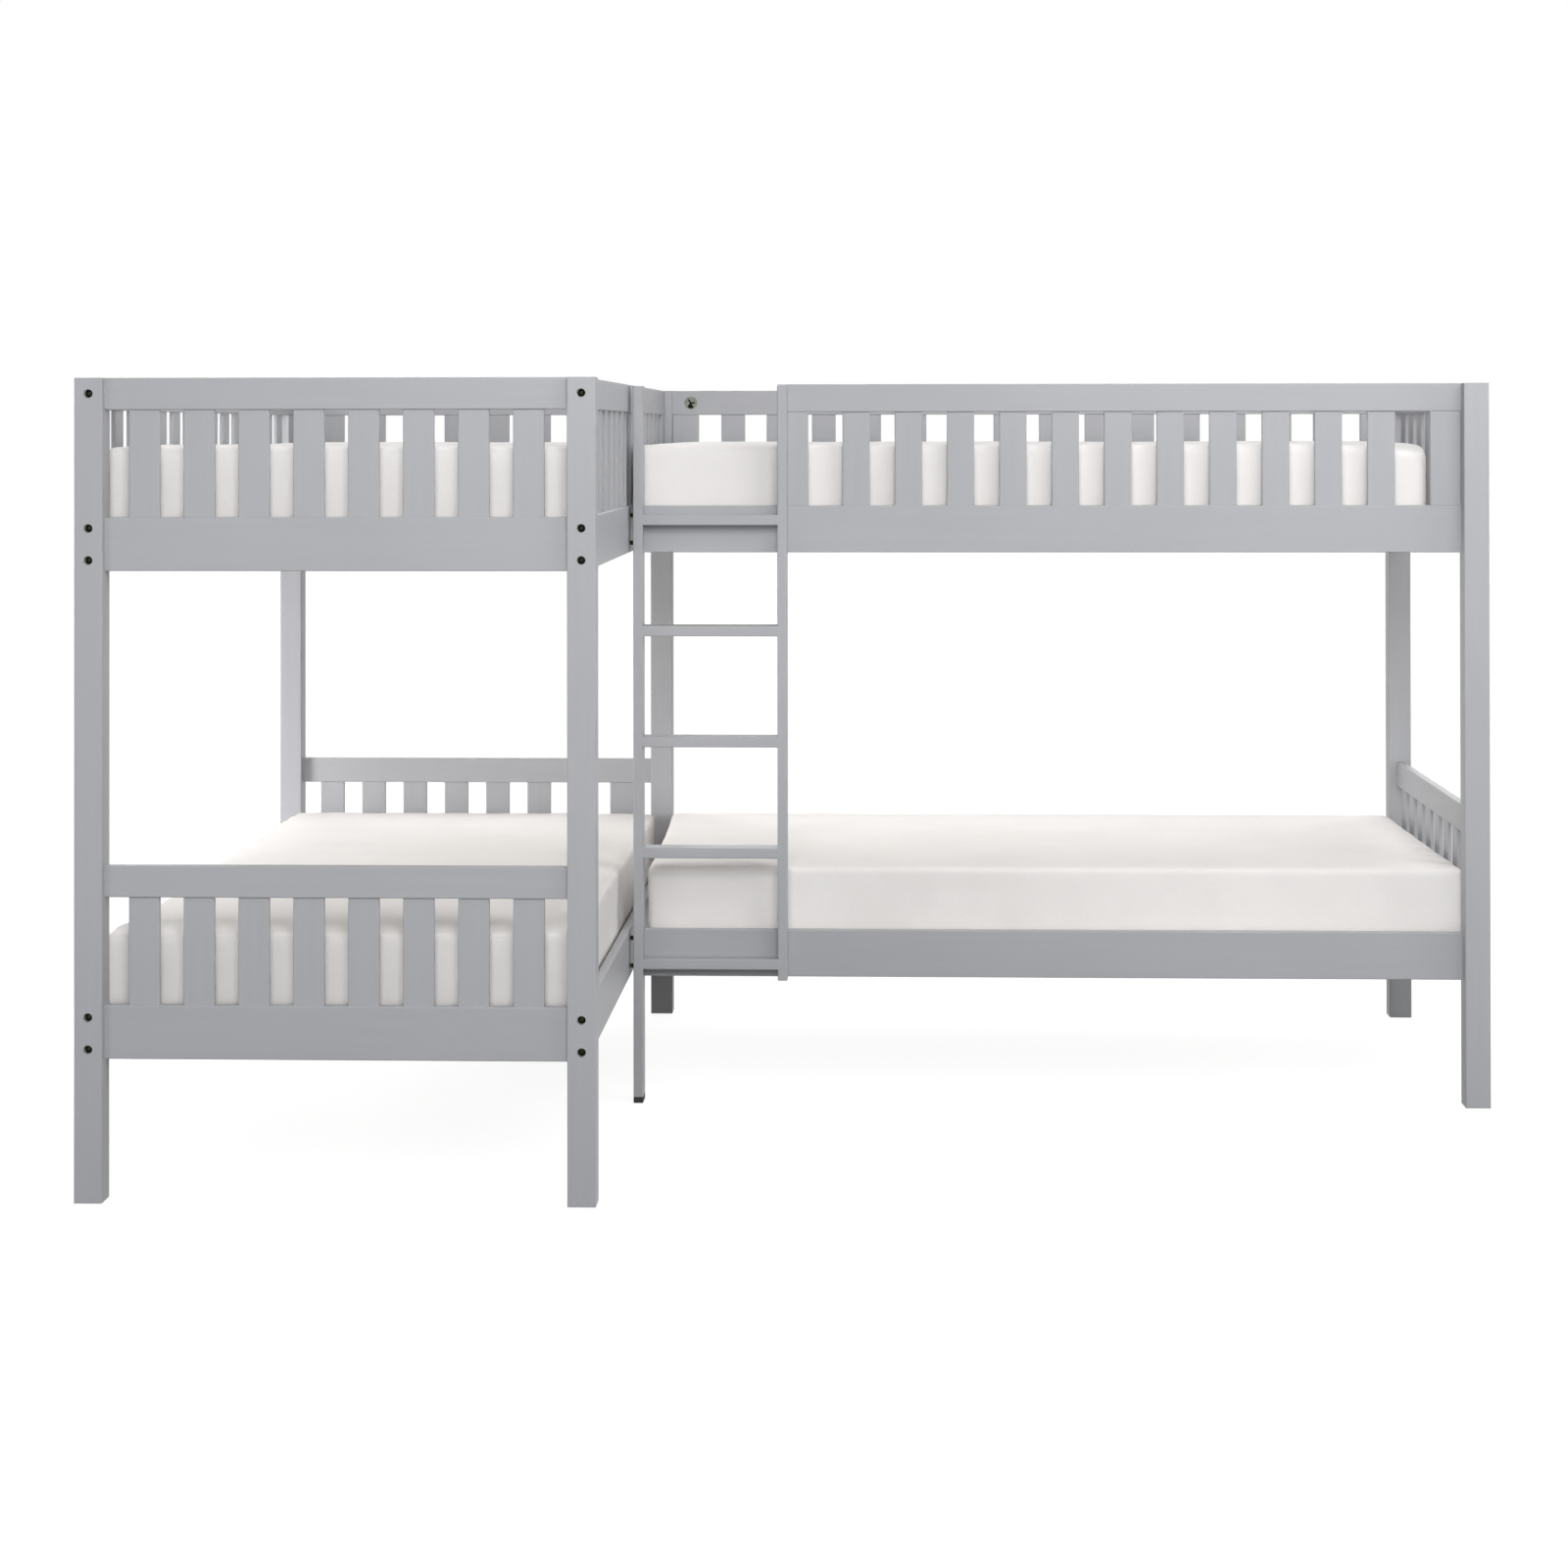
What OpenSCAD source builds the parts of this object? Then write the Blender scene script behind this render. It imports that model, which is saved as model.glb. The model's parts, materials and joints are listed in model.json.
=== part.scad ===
// L shaped quadruple bunk bed: two bunk beds for single mattresses that share
// a corner post, with slatted end panels and guards, a fixed ladder and four
// mattresses. Millimetres, +Z up, floor at Z = 0, front towards -Y.
//
// The left bunk runs back along Y. The right bunk runs along X behind it, from
// the corner post that both share. Posts and end panels stay joined, and the
// side rails are bolted between them.

/* [Frame] */
// Height of the posts
post_h = 1651; // [1560:1:1800]
// Side of a square post
post_w = 57; // [52:1:70]
// Outer width of the left bunk
left_bunk_w = 1047; // [1020:1:1150]
// Outer depth of the right bunk
right_bunk_d = 1094; // [1060:1:1180]
// Length of a side rail, from post to post
side_rail_len = 1890; // [1850:1:2050]
// Radius of the eased edges of posts, rails and slats
edge_r = 2.5; // [1:0.5:4]

/* [Rails] */
// Thickness of the rails
rail_t = 20; // [18:1:24]
// Height of the side rails and of a panel's lower rail
rail_h = 108; // [100:1:130]
// Height of the top rails
top_rail_h = 64; // [50:1:80]
// Height of the lower rails' undersides above the floor
lower_rail_z = 285; // [220:1:330]
// Height of a panel or guard, lower rail and top rail included
panel_h = 388; // [340:1:430]

/* [Slats] */
// Width of an upright slat
slat_w = 63; // [50:1:70]
// Thickness of an upright slat
slat_t = 10; // [8:1:14]
// How deep a slat's ends are housed in the rails
slat_housing = 10; // [6:1:14]
// Slats in an end panel
end_slat_count = 8; // [6:1:9]
// Distance from one guard slat to the next
guard_pitch = 120.5; // [105:0.5:140]
// Width of the upright that ends a guard
guard_end_w = 70; // [60:1:90]

/* [Ladder] */
// Thickness of the ladder's uprights
ladder_side_t = 22; // [18:1:28]
// Clear width between the uprights
ladder_clear_w = 310; // [280:1:380]
// Height of a rung
rung_h = 24; // [18:1:28]
// Number of rungs
rung_count = 5; // [4:1:6]
// Height of the lowest rung's centre above the lower rail's underside
first_rung_up = 33.5; // [20:0.5:90]
// Height of the top rung's centre above the upper rail's underside
top_rung_up = 75.5; // [20:0.5:90]
// How deep a rung is housed in the uprights
rung_housing = 8; // [4:1:12]
// How far the short upright hangs below the lower rail
short_side_drop = 3; // [0:1:20]
// How far the uprights end below the tops of the posts
upright_drop = 4; // [0:1:20]
// Thickness of the foot pad under the long upright
foot_pad_h = 14; // [6:1:20]

/* [Bed bases] */
// Boards across one bed base
board_count = 13; // [10:1:14]
// Width of a base board
board_w = 70; // [60:1:80]
// Thickness of a base board
board_t = 18; // [14:1:20]
// Height of a bearer strip
bearer_h = 25; // [18:1:30]
// Thickness of a bearer strip
bearer_t = 20; // [16:1:26]
// Distance from a bearer's end to the end of its rail
bearer_inset = 70; // [68:1:90]
// How far the base boards' tops lie below the rail tops
base_drop = 20; // [16:1:24]

/* [Mattresses] */
// Length that the mattress leaves free between the posts
mattress_end_gap = 15; // [5:1:60]
// Gap at either side of the mattress in the narrower bunk
mattress_side_gap = 5; // [2:0.5:25]
// Height of a mattress at its edge
mattress_h = 150; // [110:1:180]
// Rise of the middle above the edge
mattress_crown = 7; // [0:1:20]
// Radius of the upright corners
mattress_corner_r = 62; // [40:1:90]
// How far the sides swell at half height
mattress_swell = 4; // [0:0.5:6]
// Radius of the soft edge inside the seams
mattress_edge_r = 16; // [10:1:20]
// Bead of the sewn seam
seam_r = 1.2; // [1:0.1:3]
// How far the upper corners droop
mattress_droop = 12; // [0:1:16]
// How much rounder the upright corners are at the top
mattress_corner_soft = 24; // [0:1:40]
// Gap left of the upper right mattress
upper_right_gap = 5; // [4.5:0.5:20]
// Gap left of the lower right mattress
lower_right_gap = 34; // [4.5:0.5:40]

/* [Fittings] */
// Diameter of the frame bolts
bolt_d = 8; // [6:1:8]
// Diameter of a bolt head
bolt_head_d = 15; // [12:0.5:16]
// Height of a bolt head
bolt_head_h = 5; // [4:0.5:6]
// Width across the flats of the key socket
key_w = 5; // [4:1:6]
// Diameter of the recess for a bolt head
recess_d = 18; // [17:0.5:20]
// Depth of the recess for a bolt head
recess_depth = 8; // [7:0.5:12]
// Height between the two bolts of a side rail
bolt_spacing = 64; // [56:1:72]
// Distance from a rail's end to its barrel nuts
nut_setback = 45; // [35:1:55]
// Diameter of a barrel nut
nut_d = 12; // [11:0.5:14]
// Length of a barrel nut
nut_len = 16; // [12:1:17]
// Gap between the two bunks' side rails where they are bolted together
link_gap = 10; // [6:0.5:16]
// Diameter of the spacer tubes in that gap
spacer_d = 10; // [9.5:0.5:14]
// Diameter of a cam housing
cam_d = 34; // [30:1:36]
// Depth of a cam housing in its rail
cam_depth = 14; // [12:1:16]
// Distance from a rail's end to its cam's centre
cam_setback = 49; // [40:1:60]
// Diameter of the cam's bolt
cam_bolt_d = 8; // [6:1:8]
// Depth of the cam's bolt in the post
cam_bolt_depth = 16; // [12:1:17]
// Diameter of a dowel
dowel_d = 8; // [6:1:10]
// Length of a dowel
dowel_len = 34; // [28:1:38]
// Height between the two dowels of a rail's end
dowel_spacing = 32; // [28:1:34]
// Diameter of a ladder screw
screw_d = 5; // [4:0.5:6]
// Diameter of a ladder screw's head
screw_head_d = 9; // [8:0.5:11]
// How deep a ladder screw goes into its upright
screw_bite = 22; // [16:1:28]
// Clearance around bolts, nuts, cams and dowels in the wood
fit_gap = 0.2; // [0.1:0.05:0.3]
// Clearance around mattresses and base boards
soft_gap = 0.3; // [0.2:0.05:0.5]

/* [Hidden] */
$fn = 48;

paint = [0.70, 0.71, 0.73];
bare_wood = [0.82, 0.70, 0.52];
ticking = [0.91, 0.90, 0.88];
dark_steel = [0.16, 0.16, 0.15];
zinc = [0.62, 0.63, 0.60];
black_rubber = [0.06, 0.06, 0.06];

// Overall size, with the left front corner of the bed at X = Y = 0.
total_w = left_bunk_w + side_rail_len + post_w;
total_d = side_rail_len + 2 * post_w;

// Levels.
upper_rail_z = post_h - panel_h;
rail_levels = [lower_rail_z, upper_rail_z];
panel_clear_h = panel_h - rail_h - top_rail_h;

// Planes of the rails. Rails sit centred on the posts, but the right bunk's
// front rails lie flush with the posts' inner faces to leave room for the ladder.
outer_x = post_w / 2;
inner_x = left_bunk_w - post_w / 2;
right_front_y = total_d - right_bunk_d;
front_rail_y = right_front_y + post_w - rail_t / 2;
rear_rail_y = total_d - post_w / 2;
link_x = inner_x + rail_t / 2 + link_gap;
front_rail_x = link_x + ladder_side_t;
front_rail_len = total_w - post_w - front_rail_x;

// Ladder.
ladder_side_d = post_w - rail_t;
short_side_x = link_x + ladder_side_t + ladder_clear_w;
front_guard_len = total_w - post_w - short_side_x;
rung_len = ladder_clear_w + 2 * rung_housing;

// Bed bases.
base_z = rail_h - base_drop;
bearer_z = base_z - board_t - bearer_h;
left_base_w = left_bunk_w - post_w - rail_t;
right_base_d = rear_rail_y - rail_t / 2 - (front_rail_y + rail_t / 2);
bearer_len = side_rail_len - 2 * bearer_inset;

// Both bunks take the same mattress.
mattress_len = side_rail_len - mattress_end_gap;
mattress_w = min(left_base_w, right_base_d) - 2 * mattress_side_gap;

// Bolts. The shank runs from the head's underside to just past the barrel nut.
shank_len = post_w - recess_depth + nut_setback + nut_d;
link_sink = bolt_head_h + 1;
link_nut_x = rail_t + link_gap + ladder_side_t + nut_setback;
link_shank_len = link_nut_x + nut_d - link_sink;
bolt_hole_d = bolt_d + 2 * fit_gap;

// Bolt heights: one in a guard's top rail, two in each side rail.
guard_bolt_z = post_h - top_rail_h / 2;
side_bolt_z = [for (z = rail_levels, s = [-1, 1]) z + rail_h / 2 + s * bolt_spacing / 2];
all_bolt_z = concat([guard_bolt_z], side_bolt_z);

// Everything is drawn from the left front corner and moved to the middle here.
module place() {
    translate([-total_w / 2, -total_d / 2, 0]) children();
}

// ---------------------------------------------------------------- sections

// Rectangle with rounded corners, one corner at the origin.
module eased_rect(a, b, r = edge_r) {
    translate([r, 0]) square([a - 2 * r, b]);
    translate([0, r]) square([a, b - 2 * r]);
    for (x = [r, a - r], y = [r, b - r]) translate([x, y]) circle(r);
}

// Board along X: section thickness (Y) by height (Z), eased along its length.
module board_x(len, thick, high) {
    rotate([90, 0, 90]) linear_extrude(len) translate([-thick / 2, 0]) eased_rect(thick, high);
}

// Upright board: section a (X) by b (Y), eased along its height.
module board_z(a, b, high) {
    linear_extrude(high) eased_rect(a, b);
}

// Cylinder along +X from the origin.
module rod_x(d, len) {
    rotate([0, 90, 0]) cylinder(d = d, h = len);
}

// Cylinder along +Y from the origin.
module rod_y(d, len) {
    rotate([-90, 0, 0]) cylinder(d = d, h = len);
}

// ------------------------------------------------------------- placements
// A side rail or guard is drawn along X from its own left end, with its middle
// plane at Y = 0 and its inner face towards -Y, and placed by one of these.

module on_outer_side() {
    translate([outer_x, post_w, 0]) rotate([0, 0, 90]) children();
}

module on_inner_side() {
    translate([inner_x, post_w + side_rail_len, 0]) rotate([0, 0, -90]) children();
}

module on_rear() {
    translate([left_bunk_w, rear_rail_y, 0]) children();
}

module on_front() {
    translate([total_w - post_w, front_rail_y, 0]) rotate([0, 0, 180]) children();
}

// An end panel is drawn along X between its posts, middle plane at Y = 0.
module on_left_front() {
    translate([post_w, post_w / 2, 0]) children();
}

module on_left_rear() {
    translate([post_w, total_d - post_w / 2, 0]) children();
}

module on_right_end() {
    translate([total_w - post_w / 2, right_front_y + post_w, 0]) rotate([0, 0, 90]) children();
}

left_panel_len = left_bunk_w - 2 * post_w;
right_panel_len = right_bunk_d - 2 * post_w;

// ------------------------------------------------------------------- slats

// Left edges of the slats of an end panel: equal gaps all along.
function end_slat_x(len) =
    let (gap = (len - end_slat_count * slat_w) / (end_slat_count + 1))
    [for (i = [0 : end_slat_count - 1]) gap + i * (slat_w + gap)];

// Left edges of the slats of a guard: even pitch, the rest shared by the ends.
function guard_slat_x(len) =
    let (
        clear = len - 2 * guard_end_w,
        count = floor((clear - (guard_pitch - slat_w)) / guard_pitch),
        margin = (clear - (count - 1) * guard_pitch - slat_w) / 2
    )
    [for (i = [0 : count - 1]) guard_end_w + margin + i * guard_pitch];

// Left edges of the two end uprights of a guard.
function guard_end_x(len) = [0, len - guard_end_w];

// Upright slats at the given places, housed in the rails above and below.
module slat_row(places) {
    for (x = places) translate([x, -slat_t / 2, rail_h - slat_housing])
        board_z(slat_w, slat_t, panel_clear_h + 2 * slat_housing);
}

// Housings for a row of slats: cut them from the rails.
module slat_housings(places) {
    for (x = places) translate([x, -slat_t / 2, rail_h - slat_housing])
        cube([slat_w, slat_t, panel_clear_h + 2 * slat_housing]);
}

// End uprights of a guard: as thick as the rails, with a tongue at each end.
module guard_ends(len) {
    for (x = guard_end_x(len)) {
        translate([x, -rail_t / 2, rail_h]) board_z(guard_end_w, rail_t, panel_clear_h);
        guard_end_tongues(x);
    }
}

module guard_end_tongues(x) {
    translate([x + guard_end_w / 4, -slat_t / 2, rail_h - slat_housing])
        cube([guard_end_w / 2, slat_t, panel_clear_h + 2 * slat_housing]);
}

// --------------------------------------------------------------- fastenings

// Bolt along +X from the outer face of the post it goes through.
module frame_bolt(len = shank_len, sink = recess_depth) {
    translate([sink - bolt_head_h, 0, 0]) difference() {
        bolt_head();
        translate([-1, 0, 0]) rotate([0, 90, 0]) cylinder(d = key_w / cos(30), h = bolt_head_h * 0.6 + 1, $fn = 6);
    }
    translate([sink, 0, 0]) rod_x(bolt_d, len);
}

// Low domed head, its underside at X = bolt_head_h.
module bolt_head() {
    dome_r = (pow(bolt_head_d / 2, 2) + pow(bolt_head_h * 0.7, 2)) / (1.4 * bolt_head_h);
    intersection() {
        rod_x(bolt_head_d, bolt_head_h);
        translate([dome_r, 0, 0]) sphere(dome_r, $fn = 96);
    }
}

// Space that a bolt needs: recess, hole through the post and hole in the rail.
module bolt_space(len = shank_len, sink = recess_depth) {
    translate([-1, 0, 0]) rod_x(recess_d, sink + 1);
    rod_x(bolt_hole_d, sink + len + fit_gap);
}

// Barrel nut at a bolt's far end, let in from the rail's inner face (-Y).
module barrel_nut() {
    translate([0, -nut_len / 2, 0]) difference() {
        rod_y(nut_d, nut_len);
        translate([-nut_d, nut_len / 2, 0]) rod_x(bolt_d, 2 * nut_d);
        translate([-nut_d / 2 - 1, -1, -0.8]) cube([nut_d + 2, 2.2, 1.6]);
    }
}

// Hole for a barrel nut, open at the rail's inner face.
module nut_space() {
    translate([0, -rail_t / 2 - 1, 0]) rod_y(nut_d + 2 * fit_gap, rail_t / 2 + 1 + nut_len / 2 + fit_gap);
}

// Bolt and nut spaces at the ends of a side rail of the given length, which is
// bolted at its ends as the two flags say, at the given heights.
module rail_end_spaces(len, heights, left = true, right = true) {
    for (z = heights) {
        if (left) translate([-post_w, 0, z]) bolt_space();
        if (left) translate([nut_setback, 0, z]) nut_space();
        if (right) translate([len + post_w, 0, z]) mirror([1, 0, 0]) bolt_space();
        if (right) translate([len - nut_setback, 0, z]) nut_space();
    }
}

// Bolts, then nuts, of the same joints.
module rail_end_bolts(len, heights, left = true, right = true) {
    for (z = heights) {
        if (left) translate([-post_w, 0, z]) frame_bolt();
        if (right) translate([len + post_w, 0, z]) mirror([1, 0, 0]) frame_bolt();
    }
}

module rail_end_nuts(len, heights, left = true, right = true) {
    for (z = heights) {
        if (left) translate([nut_setback, 0, z]) barrel_nut();
        if (right) translate([len - nut_setback, 0, z]) barrel_nut();
    }
}

// Cam joint at the left end of a rear rail: a round housing let in from the
// inner face grips the head of a bolt that is screwed into the corner post.
cam_levels = [guard_bolt_z, upper_rail_z + rail_h / 2, lower_rail_z + rail_h / 2];

module cam_space() {
    translate([cam_setback, -rail_t / 2 - 1, 0]) rod_y(cam_d + 2 * fit_gap, cam_depth + 1 + fit_gap);
    translate([-cam_bolt_depth, 0, 0]) rod_x(cam_bolt_d + 2 * fit_gap, cam_bolt_depth + cam_setback);
}

module cam_housing() {
    arm_w = cam_d * 0.12;
    arm_len = cam_d * 0.31;
    face = -rail_t / 2 + 0.5;
    translate([cam_setback, face, 0]) difference() {
        rod_y(cam_d, cam_depth - 0.5);
        for (a = [0, 125, 235]) rotate([0, a, 0]) translate([0, -1, -arm_w / 2]) cube([arm_len, 3.5, arm_w]);
        translate([0, -1, 0]) intersection() {
            rod_y(cam_d - 5, 2.2);
            rotate([0, 145, 0]) cube([cam_d, 3, cam_d]);
            rotate([0, 125, 0]) cube([cam_d, 3, cam_d]);
        }
        translate([-cam_d, -face, 0]) rod_x(cam_bolt_d + 2 * fit_gap, cam_d);
    }
}

// ------------------------------------------------------------------- posts

// Post with its long edges and its ends eased.
module post_blank(high = post_h) {
    intersection() {
        linear_extrude(high) eased_rect(post_w, post_w);
        rotate([90, 0, 90]) linear_extrude(post_w) eased_rect(post_w, high, edge_r / 2);
        translate([0, post_w, 0]) rotate([90, 0, 0]) linear_extrude(post_w) eased_rect(post_w, high, edge_r / 2);
    }
}

module post_front_left() {
    color(paint) place() difference() {
        post_blank();
        side_joint_spaces();
        end_dowel_spaces();
    }
}

module post_front_middle() {
    color(paint) place() difference() {
        translate([left_bunk_w - post_w, 0, 0]) post_blank();
        side_joint_spaces();
        end_dowel_spaces();
    }
}

module post_rear_left() {
    color(paint) place() difference() {
        translate([0, total_d - post_w, 0]) post_blank();
        side_joint_spaces();
        end_dowel_spaces();
    }
}

// Shared by both bunks: bolted from behind for the left one, and with the
// cams' bolts screwed into its right face for the right one.
module post_corner() {
    color(paint) place() difference() {
        translate([left_bunk_w - post_w, total_d - post_w, 0]) post_blank();
        side_joint_spaces();
        end_dowel_spaces();
        on_rear() for (z = cam_levels) translate([0, 0, z]) cam_space();
    }
}

module post_front_right() {
    color(paint) place() difference() {
        translate([total_w - post_w, right_front_y, 0]) post_blank();
        side_joint_spaces();
        end_dowel_spaces();
    }
}

module post_rear_right() {
    color(paint) place() difference() {
        translate([total_w - post_w, total_d - post_w, 0]) post_blank();
        side_joint_spaces();
        end_dowel_spaces();
    }
}

// Bolt spaces of every joint between a post and a side rail.
module side_joint_spaces() {
    on_outer_side() rail_end_spaces(side_rail_len, all_bolt_z);
    on_inner_side() rail_end_spaces(side_rail_len, all_bolt_z);
    on_rear() rail_end_spaces(side_rail_len, all_bolt_z, left = false);
    on_front() rail_end_spaces(front_rail_len, all_bolt_z, right = false);
}

// ------------------------------------------------------- end panels' dowels

// Two dowels, one above the other, at each end of a panel rail.
module rail_dowels(len, high, gap = 0) {
    for (x = [0, len], s = [-1, 1])
        translate([x - dowel_len / 2 - gap, 0, high / 2 + s * dowel_spacing / 2])
            rod_x(dowel_d + 2 * gap, dowel_len + 2 * gap);
}

module panel_dowels(len, gap = 0) {
    for (z = rail_levels) {
        translate([0, 0, z]) rail_dowels(len, rail_h, gap);
        translate([0, 0, z + panel_h - top_rail_h]) rail_dowels(len, top_rail_h, gap);
    }
}

module end_dowel_spaces() {
    on_left_front() panel_dowels(left_panel_len, fit_gap);
    on_left_rear() panel_dowels(left_panel_len, fit_gap);
    on_right_end() panel_dowels(right_panel_len, fit_gap);
}

module end_rail_dowels() {
    color(bare_wood) place() {
        on_left_front() panel_dowels(left_panel_len);
        on_left_rear() panel_dowels(left_panel_len);
        on_right_end() panel_dowels(right_panel_len);
    }
}

// -------------------------------------------------------------- end panels

module panel_top_rail(len, z) {
    translate([0, 0, z]) difference() {
        translate([0, 0, panel_h - top_rail_h]) board_x(len, rail_t, top_rail_h);
        slat_housings(end_slat_x(len));
        translate([0, 0, panel_h - top_rail_h]) rail_dowels(len, top_rail_h, fit_gap);
    }
}

module panel_lower_rail(len, z) {
    translate([0, 0, z]) difference() {
        board_x(len, rail_t, rail_h);
        slat_housings(end_slat_x(len));
        rail_dowels(len, rail_h, fit_gap);
    }
}

module panel_slats(len, z) {
    translate([0, 0, z]) slat_row(end_slat_x(len));
}

module left_front_top_rail(z) {
    color(paint) place() on_left_front() panel_top_rail(left_panel_len, z);
}

module left_front_slats(z) {
    color(paint) place() on_left_front() panel_slats(left_panel_len, z);
}

module left_front_lower_rail(z) {
    color(paint) place() on_left_front() panel_lower_rail(left_panel_len, z);
}

module left_rear_top_rail(z) {
    color(paint) place() on_left_rear() panel_top_rail(left_panel_len, z);
}

module left_rear_slats(z) {
    color(paint) place() on_left_rear() panel_slats(left_panel_len, z);
}

module left_rear_lower_rail(z) {
    color(paint) place() on_left_rear() panel_lower_rail(left_panel_len, z);
}

module right_end_top_rail(z) {
    color(paint) place() on_right_end() panel_top_rail(right_panel_len, z);
}

module right_end_slats(z) {
    color(paint) place() on_right_end() panel_slats(right_panel_len, z);
}

module right_end_lower_rail(z) {
    color(paint) place() on_right_end() panel_lower_rail(right_panel_len, z);
}

// ------------------------------------------------------ side rails and guards

// Guard's top rail, with housings for its slats and its end uprights.
module guard_top_rail(len) {
    translate([0, 0, upper_rail_z]) difference() {
        translate([0, 0, panel_h - top_rail_h]) board_x(len, rail_t, top_rail_h);
        guard_housings(len);
    }
}

module guard_housings(len) {
    slat_housings(guard_slat_x(len));
    for (x = guard_end_x(len)) guard_end_tongues(x);
}

module guard_slats(len) {
    translate([0, 0, upper_rail_z]) {
        slat_row(guard_slat_x(len));
        guard_ends(len);
    }
}

// Side rail at one level. A guard of the given length stands on an upper one.
module side_rail(len, z, guard_len = 0) {
    difference() {
        translate([0, 0, z]) board_x(len, rail_t, rail_h);
        if (guard_len > 0) translate([0, 0, upper_rail_z]) guard_housings(guard_len);
    }
}

module outer_guard_top_rail() {
    color(paint) place() on_outer_side() difference() {
        guard_top_rail(side_rail_len);
        rail_end_spaces(side_rail_len, [guard_bolt_z]);
    }
}

module outer_guard_slats() {
    color(paint) place() on_outer_side() guard_slats(side_rail_len);
}

module outer_side_rail(z, guard_len = 0) {
    color(paint) place() on_outer_side() difference() {
        side_rail(side_rail_len, z, guard_len);
        rail_end_spaces(side_rail_len, side_bolt_z);
    }
}

module inner_guard_top_rail() {
    color(paint) place() on_inner_side() difference() {
        guard_top_rail(side_rail_len);
        rail_end_spaces(side_rail_len, [guard_bolt_z]);
    }
}

module inner_guard_slats() {
    color(paint) place() on_inner_side() guard_slats(side_rail_len);
}

// The right bunk's front rail is bolted through this rail from its inside.
module inner_side_rail(z, guard_len = 0) {
    color(paint) place() difference() {
        on_inner_side() difference() {
            side_rail(side_rail_len, z, guard_len);
            rail_end_spaces(side_rail_len, side_bolt_z);
        }
        link_spaces();
    }
}

module rear_guard_top_rail() {
    color(paint) place() on_rear() difference() {
        guard_top_rail(side_rail_len);
        rail_end_spaces(side_rail_len, [guard_bolt_z], left = false);
        translate([0, 0, guard_bolt_z]) cam_space();
    }
}

module rear_guard_slats() {
    color(paint) place() on_rear() guard_slats(side_rail_len);
}

module rear_side_rail(z, guard_len = 0) {
    color(paint) place() on_rear() difference() {
        side_rail(side_rail_len, z, guard_len);
        rail_end_spaces(side_rail_len, side_bolt_z, left = false);
        translate([0, 0, z + rail_h / 2]) cam_space();
    }
}

module front_guard_top_rail() {
    color(paint) place() difference() {
        on_front() difference() {
            guard_top_rail(front_guard_len);
            rail_end_spaces(front_guard_len, [guard_bolt_z], right = false);
        }
        ladder_screw_spaces();
    }
}

module front_guard_slats() {
    color(paint) place() on_front() guard_slats(front_guard_len);
}

module front_side_rail(z, guard_len = 0) {
    color(paint) place() difference() {
        on_front() difference() {
            side_rail(front_rail_len, z, guard_len);
            rail_end_spaces(front_rail_len, side_bolt_z, right = false);
        }
        link_spaces();
        ladder_screw_spaces();
    }
}

// ------------------------------------------- link between the two bunks

// Bolts go from inside the left bunk, through its inner side rail, a spacer
// tube and the ladder's long upright, into the ends of the right bunk's front
// rails.
module at_links() {
    for (z = side_bolt_z) translate([inner_x - rail_t / 2, front_rail_y, z]) children();
}

module link_spaces() {
    at_links() {
        bolt_space(link_shank_len, link_sink);
        translate([link_nut_x, 0, 0]) mirror([0, 1, 0]) nut_space();
    }
}

module link_bolts() {
    at_links() frame_bolt(link_shank_len, link_sink);
}

module link_nuts() {
    at_links() translate([link_nut_x, 0, 0]) mirror([0, 1, 0]) barrel_nut();
}

module link_spacers() {
    color(dark_steel) place() at_links() translate([rail_t, 0, 0]) difference() {
        rod_x(spacer_d, link_gap);
        translate([-1, 0, 0]) rod_x(bolt_hole_d, link_gap + 2);
    }
}

// ------------------------------------------------------------------ ladder

first_rung_z = lower_rail_z + first_rung_up;
rung_pitch = (upper_rail_z + top_rung_up - first_rung_z) / (rung_count - 1);
rung_z = [for (i = [0 : rung_count - 1]) first_rung_z + i * rung_pitch - rung_h / 2];

// A rung is as deep as the ladder, or ends at the rail that it crosses.
function crosses_rail(z) = len([for (level = rail_levels) if (z < level + rail_h && z + rung_h > level) 1]) > 0;

// Rungs across the front, their ends housed in both uprights.
module rung_bars() {
    for (z = rung_z) let (deep = crosses_rail(z) ? ladder_side_d : post_w)
        translate([link_x + ladder_side_t - rung_housing, right_front_y + deep / 2, z])
            board_x(rung_len, deep, rung_h);
}

module ladder_rungs() {
    color(paint) place() rung_bars();
}

// Upright with eased edges, of the given depth, standing from z to the top.
module ladder_upright(x, z, deep) {
    translate([x, right_front_y, z]) board_z(ladder_side_t, deep, post_h - upright_drop - z);
}

// Stands on the floor, between the left bunk and the ends of the front rails.
module ladder_long_upright() {
    color(paint) place() difference() {
        ladder_upright(link_x, foot_pad_h, post_w);
        rung_bars();
        link_spaces();
    }
}

// Notched over the front rails and the guard's first upright, and screwed to
// them.
module ladder_short_upright() {
    color(paint) place() difference() {
        ladder_upright(short_side_x, lower_rail_z - short_side_drop, post_w);
        translate([short_side_x - 1, right_front_y + ladder_side_d, 0]) {
            cube([ladder_side_t + 2, rail_t + 1, lower_rail_z + rail_h + fit_gap]);
            translate([0, 0, upper_rail_z - fit_gap]) cube([ladder_side_t + 2, rail_t + 1, panel_h + 1]);
        }
        rung_bars();
        ladder_screw_spaces();
    }
}

module ladder_foot_pad() {
    color(black_rubber) place() translate([link_x, right_front_y, 0])
        board_z(ladder_side_t, post_w, foot_pad_h);
}

// Screws from the rails' inner faces into the back of the short upright.
module at_ladder_screws() {
    for (z = all_bolt_z) translate([short_side_x + ladder_side_t / 2, front_rail_y + rail_t / 2, z]) children();
}

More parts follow.
